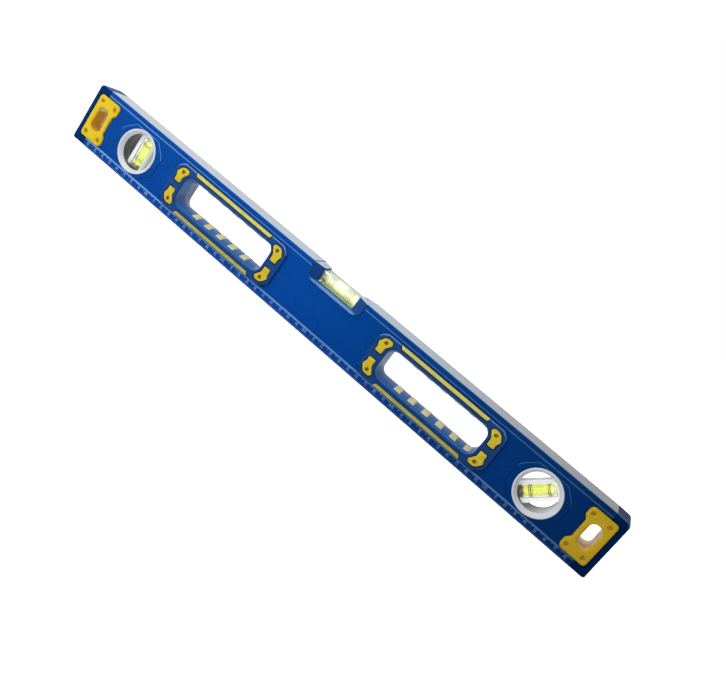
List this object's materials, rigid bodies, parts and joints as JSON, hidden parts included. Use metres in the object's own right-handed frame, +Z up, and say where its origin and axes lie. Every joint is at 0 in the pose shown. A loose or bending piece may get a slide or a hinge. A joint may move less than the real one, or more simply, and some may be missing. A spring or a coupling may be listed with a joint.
{
  "type": "spirit level",
  "caption": "Box-section spirit level with end caps, two through hand grips, hang slots, and plumb, level and angled bubble vials.",
  "frame": {"origin": "centre of the bottom measuring face", "axes": "+X along the beam with the 45 degree vial at its +X end, -Y out of the ruler side, +Z up out of the top measuring face"},
  "size_m": [0.6, 0.028, 0.058],
  "materials": {
    "blue_powder_coat": "glossy blue powder coat on aluminium, bare milled measuring faces",
    "blue_plastic": "glossy moulded",
    "yellow_plastic": "satin moulded",
    "yellow_rubber": "soft matt",
    "grey_plastic": "satin moulded",
    "white_plastic": "satin moulded",
    "plug_grey": "moulded",
    "clear_acrylic": "polished clear acrylic",
    "vial_liquid": "clear fluorescent yellow-green spirit",
    "air": "clear",
    "zinc_steel": "yellow zinc plated"
  },
  "bodies": {
    "level_body": {"aluminium_beam": "blue_powder_coat", "end_cap_left": "blue_plastic", "end_cap_right": "blue_plastic", "hang_bracket_left_front": "yellow_plastic", "grip_shell_left_front": "blue_plastic", "grip_soft_left_front": "yellow_rubber", "hang_bracket_left_rear": "yellow_plastic", "grip_shell_left_rear": "blue_plastic", "grip_soft_left_rear": "yellow_rubber", "bracket_screw_left_1": "zinc_steel", "bracket_screw_left_2": "zinc_steel", "bracket_screw_left_3": "zinc_steel", "bracket_screw_left_4": "zinc_steel", "grip_screw_left_1": "zinc_steel", "grip_screw_left_2": "zinc_steel", "grip_screw_left_3": "zinc_steel", "grip_screw_left_4": "zinc_steel", "hang_bracket_right_front": "yellow_plastic", "grip_shell_right_front": "blue_plastic", "grip_soft_right_front": "yellow_rubber", "hang_bracket_right_rear": "yellow_plastic", "grip_shell_right_rear": "blue_plastic", "grip_soft_right_rear": "yellow_rubber", "bracket_screw_right_1": "zinc_steel", "bracket_screw_right_2": "zinc_steel", "bracket_screw_right_3": "zinc_steel", "bracket_screw_right_4": "zinc_steel", "grip_screw_right_1": "zinc_steel", "grip_screw_right_2": "zinc_steel", "grip_screw_right_3": "zinc_steel", "grip_screw_right_4": "zinc_steel", "plumb_vial_bezel_front": "grey_plastic", "plumb_vial_bezel_rear": "grey_plastic", "plumb_vial_carrier": "white_plastic", "plumb_vial_tube": "clear_acrylic", "plumb_vial_plug": "plug_grey", "plumb_vial_liquid": "vial_liquid", "angle_vial_bezel_front": "grey_plastic", "angle_vial_bezel_rear": "grey_plastic", "angle_vial_carrier": "white_plastic", "angle_vial_tube": "clear_acrylic", "angle_vial_plug": "plug_grey", "angle_vial_liquid": "vial_liquid", "centre_vial_cradle": "blue_plastic", "centre_vial_block": "clear_acrylic", "centre_vial_plug": "plug_grey", "centre_vial_liquid": "vial_liquid"},
    "plumb_bubble": {"plumb_vial_bubble": "air"},
    "angle_bubble": {"angle_vial_bubble": "air"},
    "centre_bubble": {"centre_vial_bubble": "air"}
  },
  "joints": [
    {"name": "plumb_bubble_slide", "type": "slide", "parent": "level_body", "child": "plumb_bubble", "axis": [0, 0, 1], "range_m": [-0.0185, 0], "stiffness_N_per_m": 20},
    {"name": "angle_bubble_slide", "type": "slide", "parent": "level_body", "child": "angle_bubble", "axis": [0.7071, 0, 0.7071], "range_m": [-0.0185, 0], "stiffness_N_per_m": 20},
    {"name": "centre_bubble_slide", "type": "slide", "parent": "level_body", "child": "centre_bubble", "axis": [1, 0, 0], "range_m": [-0.008, 0.008], "stiffness_N_per_m": 20}
  ]
}
